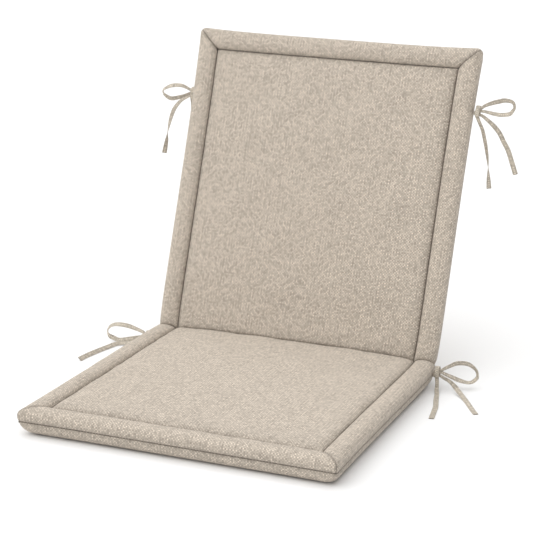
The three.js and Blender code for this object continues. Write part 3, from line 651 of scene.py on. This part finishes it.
border_cloth = linen("border_cloth", BORDER_COLOUR)
inset, height = along_curves(OVER_THE_BORDER, 13)
girth = arc_length(inset, height)
for name, pad in PADS.items():
    for side_name, side in (("left", -1), ("right", 1)):
        seed = 50 + 7 * side + (20 if name == "back" else 0)
        long = far_q(height, pad["length"] - inset)
        share = down_the_pad(BORDER_CREASE, BORDER_STEP, long.mean())
        tail = 1 - MITRE_RUN * (1 - np.sin(np.linspace(0, math.pi / 2, 14)))
        share = np.concatenate([share[share < 1 - MITRE_RUN], tail])
        q = share[:, None] * long[None, :]
        s, z = at_fold(q, np.broadcast_to(height, q.shape))
        girths, insets = np.broadcast_to(girth, q.shape), np.broadcast_to(inset, q.shape)
        z = z + border_puff(insets, z, s, seed) * np.clip(s / 0.03, 0, 1)
        far = pad["length"] - inset - s
        further, raised = at_mitre(insets, height, far)
        x = side * (HALF_WIDTH - insets - further)
        # Distances to the seams, the mitre and the crease, which set the painted shade of the cloth.
        seam = np.minimum(np.minimum(girths, girth[-1] - girths), far)
        seam = np.minimum(seam, from_crease(q, height) * CREASE_SHADE)
        s = s - further * np.exp(-((far / MITRE_REACH) ** 2))
        piece = cover(f"{name}_border_{side_name}_cloth", on_pad(pad, x, s, z + raised),
                      np.stack([girths, s], -1), seam, border_cloth,
                      pad["up"] + (side, 0, 0), f"{name}_border_{side_name}")
        cross_fold(piece)
    reach = to_the_seams(1.0, 0.07, 0.0125)[:, None] * (HALF_WIDTH - inset)[None, :]
    girths, insets = np.broadcast_to(girth, reach.shape), np.broadcast_to(inset, reach.shape)
    far = HALF_WIDTH - insets - np.abs(reach)
    further, raised = at_mitre(insets, height, far)
    s = pad["length"] - insets - further
    z = height + border_puff(insets, np.broadcast_to(height, reach.shape), reach, 90 + len(name)) + raised
    # Distances to the seams and the mitres, which set the painted shade of the cloth.
    seam = np.minimum(np.minimum(girths, girth[-1] - girths), far)
    x = reach - np.sign(reach) * further * np.exp(-((far / MITRE_REACH) ** 2))
    piece = cover(f"{name}_border_{pad['end']}_cloth", on_pad(pad, x, s, z), np.stack([reach, girths], -1),
                  seam, border_cloth, pad["up"] + pad["along"],
                  f"{name}_border_{pad['end']}")
    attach(piece, name)

# ---- Undersides ---------------------------------------------------------------------------------------
# One sheet under each pad, its rim turned up to the edge seam on three sides and to the fold on the fourth.
# The seat's lies flat on what it rests on; the back's is lightly puffed.

UNDERSIDE_COLOUR = (0.48, 0.42, 0.352)
underside_cloth = linen("underside_cloth", UNDERSIDE_COLOUR)
rim_inset, rim_height = along_curves(ROUND_THE_RIM, 10)
rim_inset, rim_height = rim_inset[::-1], rim_height[::-1]
rim_arc = arc_length(rim_inset, rim_height)
for name, pad in PADS.items():
    flat_half, flat_end = HALF_WIDTH - rim_inset[0], pad["length"] - rim_inset[0]
    middle = np.linspace(-flat_half, flat_half, 73)
    count = len(rim_inset) - 1
    x = np.concatenate([-(HALF_WIDTH - rim_inset[1:])[::-1], middle, HALF_WIDTH - rim_inset[1:]])
    x_cloth = np.concatenate([-(flat_half + rim_arc[1:])[::-1], middle, flat_half + rim_arc[1:]])
    over_x = np.concatenate([np.arange(count, 0, -1), np.zeros(len(middle), int), np.arange(1, count + 1)])
    lengthwise = np.linspace(0, flat_end, 90)
    fine = np.concatenate([np.arange(0, 0.045, 0.0025), lengthwise[lengthwise > 0.047]])
    over_s = np.concatenate([np.zeros(len(fine), int), np.arange(1, count + 1)])
    step = np.maximum(over_x[None, :], over_s[:, None])
    z = rim_height[step]
    puffed = np.sin(np.clip((HALF_WIDTH - np.abs(x)) / 0.12, 0, 1) * math.pi / 2)[None, :]
    s_far = np.concatenate([fine, pad["length"] - rim_inset[1:]])
    puffed = puffed * np.sin(np.clip((pad["length"] - s_far) / 0.12, 0, 1) * math.pi / 2)[:, None]
    puffed = puffed * np.sin(np.clip(s_far / 0.08, 0, 1) * math.pi / 2)[:, None]
    uneven = 0.0008 * lumps(x[None, :], s_far[:, None], 0.11, 140) * puffed
    long = far_q(rim_height[over_x], np.full(len(x), flat_end))
    q = fine[:, None] / flat_end * long[None, :]
    s_near, z_near = at_fold(q, np.broadcast_to(rim_height[over_x], q.shape))
    s = np.concatenate([s_near, np.broadcast_to(s_far[len(fine):, None], (count, len(x)))])
    z = np.concatenate([z_near, z[len(fine):]])
    sagging = (step == 0) * (pad["rear_puff"] > 0)  # the seat's underside stays flat
    z = z - (pad["rear_puff"] * puffed + uneven) * sagging
    wide = np.broadcast_to(x, s.shape)
    s_cloth = np.concatenate([fine, flat_end + rim_arc[1:]])
    cloth = np.stack(np.broadcast_arrays(x_cloth[None, :], s_cloth[:, None]), -1)
    # The distance to the edge seam sets the painted shade of the cloth.
    piece = cover(f"{name}_{pad['under']}_cloth", on_pad(pad, wide, s, z), cloth,
                  (rim_arc[-1] - rim_arc)[step], underside_cloth, -pad["up"],
                  f"{name}_{pad['under']}")
    cross_fold(piece)

# ---- Foam cores and fibre fillings --------------------------------------------------------------------
# Inside: a slab of open-cell foam under each centre panel, and a loose roll of fibre in each border. Both
# follow the cover's own surfaces, a little further in.

LINING = 0.0035  # from the cover's outer face to what fills it
FOAM_COLOUR, FIBRE_COLOUR = (0.85, 0.78, 0.55), (0.88, 0.87, 0.84)


def stuffing(name, colour, cell, depth):
    """Foam or fibre: a pale colour mottled by cells of that size, which also roughen it."""
    material = bpy.data.materials.new(name)
    material.use_nodes = True
    tree = material.node_tree
    shader = tree.nodes["Principled BSDF"]
    place = add_node(tree, "ShaderNodeTexCoord").outputs["Object"]
    cells = add_node(tree, "ShaderNodeTexVoronoi", in_Vector=place, in_Scale=1 / cell).outputs["Distance"]
    tone = sums(tree, "MULTIPLY_ADD", cells, 0.4, 0.75)
    tinted = add_node(tree, "ShaderNodeMix", data_type="RGBA", blend_type="MULTIPLY", in_0=1.0,
                      in_6=(*colour, 1.0), in_7=tone)
    bumped = add_node(tree, "ShaderNodeBump", in_Distance=depth, in_Height=cells)
    tree.links.new(tinted.outputs[2], shader.inputs["Base Color"])
    tree.links.new(bumped.outputs[0], shader.inputs["Normal"])
    shader.inputs["Roughness"].default_value = 0.95
    return material


FIBRE_START = 0.022  # from the fold to where the side borders' filling starts
FOAM_STARTS = {"lower": 0.014, "middle": 0.026, "upper": 0.036}  # its end slopes back from the fold
FIBRE_SHARE_OF_SECTION = 0.8
END_CLEARANCE = 0.004  # from a filling's end to the mitre
foam = stuffing("foam", FOAM_COLOUR, 0.0016, 0.0006)
fibre = stuffing("fibre", FIBRE_COLOUR, 0.004, 0.001)
section = np.column_stack([np.concatenate([inset[1:], rim_inset[::-1][1:-2]]),
                           np.concatenate([height[1:], rim_height[::-1][1:-2]])])
section = HEART + (section - HEART) * FIBRE_SHARE_OF_SECTION
for name, pad in PADS.items():
    half, end = HALF_WIDTH - SEAM_INSET - LINING, pad["length"] - SEAM_INSET - LINING
    x, share = np.meshgrid(to_the_seams(half, 0.016, 0.008), np.linspace(0, 1, 60))
    levels = {}
    for level, first in FOAM_STARTS.items():
        s = first + (end - first) * share
        top, bottom = panel_rise(pad, x, s) - LINING, np.full_like(s, LINING - fold[2])
        z = {"lower": bottom, "middle": (top + bottom) / 2, "upper": top}[level]
        levels[level] = np.stack([x, s, z], -1)
    loop = np.concatenate(
        [levels["middle"][:1], levels["upper"], levels["middle"][-1:], levels["lower"][::-1]])
    ring = on_pad(pad, loop[..., 0], loop[..., 1], loop[..., 2])
    rows, columns = ring.shape[:2]
    core = mesh_piece(f"{name}_foam", ring.transpose(1, 0, 2).reshape(-1, 3), tube_faces(columns, rows),
                      np.zeros((rows * columns, 2)), foam)
    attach(core, name)
    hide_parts(f"{name}_foam_core")
    for part in ("left", "right", pad["end"]):
        if part == pad["end"]:
            x = np.linspace(-1, 1, 60)[:, None] * (HALF_WIDTH - section[:, 0] - END_CLEARANCE)
            s = np.broadcast_to(pad["length"] - section[:, 0], x.shape)
        else:
            side = -1 if part == "left" else 1
            reach = pad["length"] - section[:, 0] - END_CLEARANCE - FIBRE_START
            s = FIBRE_START + np.linspace(0, 1, 60)[:, None] * reach
            x = np.broadcast_to(side * (HALF_WIDTH - section[:, 0]), s.shape)
        rolled = on_pad(pad, x, s, np.broadcast_to(section[:, 1], x.shape))
        n, m = rolled.shape[:2]
        fill = mesh_piece(f"{name}_fibre_{part}", rolled.reshape(-1, 3), tube_faces(n, m),
                          np.zeros((n * m, 2)), fibre)
        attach(fill, name)
        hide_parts(f"{name}_border_fill_{part}")

# ---- Edge stitches ------------------------------------------------------------------------------------
# A row of short stitches round three sides of each pad, in the border just above its edge seam. Each is a
# short straw of thread whose two ends are sunk in the cloth.

STITCH, STITCH_STEP, THREAD = 0.0028, 0.0044, 0.00032  # length, from one to the next, thread's radius
STITCH_BACK = 4  # places along the section from its edge seam
thread = linen("thread", (0.34, 0.29, 0.235), contrast=0.2)


def stitch_row(name, walks):
    """Stitches along the walks, each given as its line and the way out of the cloth."""
    points, faces = [], []
    for walk, outwards in walks:
        run = np.linalg.norm(np.diff(walk, axis=0), axis=1)
        along = np.concatenate([[0], np.cumsum(run)])
        for start in np.arange(0.002, along[-1] - STITCH, STITCH_STEP):
            at = start + STITCH * np.array([0, 0.2, 0.8, 1.0])
            line = np.stack([np.interp(at, along, walk[:, k]) for k in range(3)], axis=1)
            way = (line[-1] - line[0]) / np.linalg.norm(line[-1] - line[0])
            side = np.cross(way, outwards)
            line = line + outwards * (THREAD * np.array([-1.2, 0.5, 0.5, -1.2]))[:, None]
            around = np.linspace(0, 2 * math.pi, 6, endpoint=False)
            ring = THREAD * (np.cos(around)[:, None] * outwards + np.sin(around)[:, None] * side)
            first = len(points) * 6
            points.extend([point + ring for point in line])
            faces += [[corner + first for corner in face] for face in tube_faces(4, 6)]
    points = np.concatenate(points)
    return mesh_piece(name, points, faces, points[:, :2], thread)


for name, pad in PADS.items():
    at, z = inset[-1 - STITCH_BACK], height[-1 - STITCH_BACK]
    slope = np.array([-(height[-2 - STITCH_BACK] - height[-STITCH_BACK]),
                      inset[-STITCH_BACK] - inset[-2 - STITCH_BACK]])
    slope = slope / -np.linalg.norm(slope)
    walks = []
    for side in (-1, 1):
        s = np.linspace(0.034, pad["length"] - at - 0.003, 150)
        walks.append((on_pad(pad, np.full_like(s, side * (HALF_WIDTH - at)), s, np.full_like(s, z)),
                      np.array([side, 0, 0]) * slope[0] + pad["up"] * slope[1]))
    x = np.linspace(-1, 1, 150) * (HALF_WIDTH - at - 0.003)
    walks.append((on_pad(pad, x, np.full_like(x, pad["length"] - at), np.full_like(x, z)),
                  pad["along"] * slope[0] + pad["up"] * slope[1]))
    row = stitch_row(f"{name}_edge_stitches", walks)
    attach(row, name)

# ---- Fold seam ----------------------------------------------------------------------------------------
# Both pads' covers are gathered into one bead of cloth, sewn through along the fold. It is a little
# uneven along its length.

BEAD_RADIUS = 0.0018
BEAD_HALF = 0.2425  # half its length
x = np.linspace(-BEAD_HALF, BEAD_HALF, 320)
turn = np.linspace(0, 2 * math.pi, 14, endpoint=False)
thick = BEAD_RADIUS * (1 + 0.12 * lumps(x, x * 0, 0.009, 7))[:, None]
bead = np.stack([np.broadcast_to(x[:, None], (len(x), len(turn))),
                 fold[1] + thick * np.cos(turn),
                 fold[2] + thick * np.sin(turn)], -1)
uv = np.stack([np.broadcast_to(turn * BEAD_RADIUS, bead.shape[:2]), bead[..., 0]], -1)
web = mesh_piece("fold_seam_bead", bead.reshape(-1, 3), tube_faces(len(x), len(turn)), uv.reshape(-1, 2),
                 border_cloth)
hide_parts("fold_seam_web")
cross_fold(web)

# ---- Floor and light ----------------------------------------------------------------------------------
# A plain white floor, even light all round and a broad soft key from above, a little left and in front.
# The floor runs far enough for its edge not to show in a view from behind.

FLOOR = 40  # half its side
data = bpy.data.meshes.new("floor")
data.from_pydata([(-FLOOR, -FLOOR, 0), (FLOOR, -FLOOR, 0), (FLOOR, FLOOR, 0), (-FLOOR, FLOOR, 0)],
                 [], [(0, 1, 2, 3)])
floor = bpy.data.objects.new("floor", data)
white = bpy.data.materials.new("floor_white")
white.use_nodes = True
white_shader = white.node_tree.nodes["Principled BSDF"]
white_shader.inputs["Base Color"].default_value = (0.88, 0.88, 0.88, 1)
white_shader.inputs["Roughness"].default_value = 0.9
white_shader.inputs["Specular IOR Level"].default_value = 0.1
data.materials.append(white)
bpy.context.scene.collection.objects.link(floor)

SUN_STRENGTH, SUN_SPREAD = 2.85, 110  # the spread in degrees makes its shadows soft
SUN_FROM = (-0.36, -0.20, 0.91)
AMBIENT = 0.52
sun = bpy.data.lights.new("soft_key", "SUN")
sun.energy, sun.angle = SUN_STRENGTH, math.radians(SUN_SPREAD)
holder = bpy.data.objects.new("soft_key", sun)
holder.rotation_euler = Vector(SUN_FROM).to_track_quat("Z", "Y").to_euler()
bpy.context.scene.collection.objects.link(holder)
world = bpy.data.worlds.new("studio")
world.use_nodes = True
world.node_tree.nodes["Background"].inputs["Color"].default_value = (1, 1, 1, 1)
world.node_tree.nodes["Background"].inputs["Strength"].default_value = AMBIENT
bpy.context.scene.world = world
bpy.context.scene.view_settings.view_transform = "Standard"
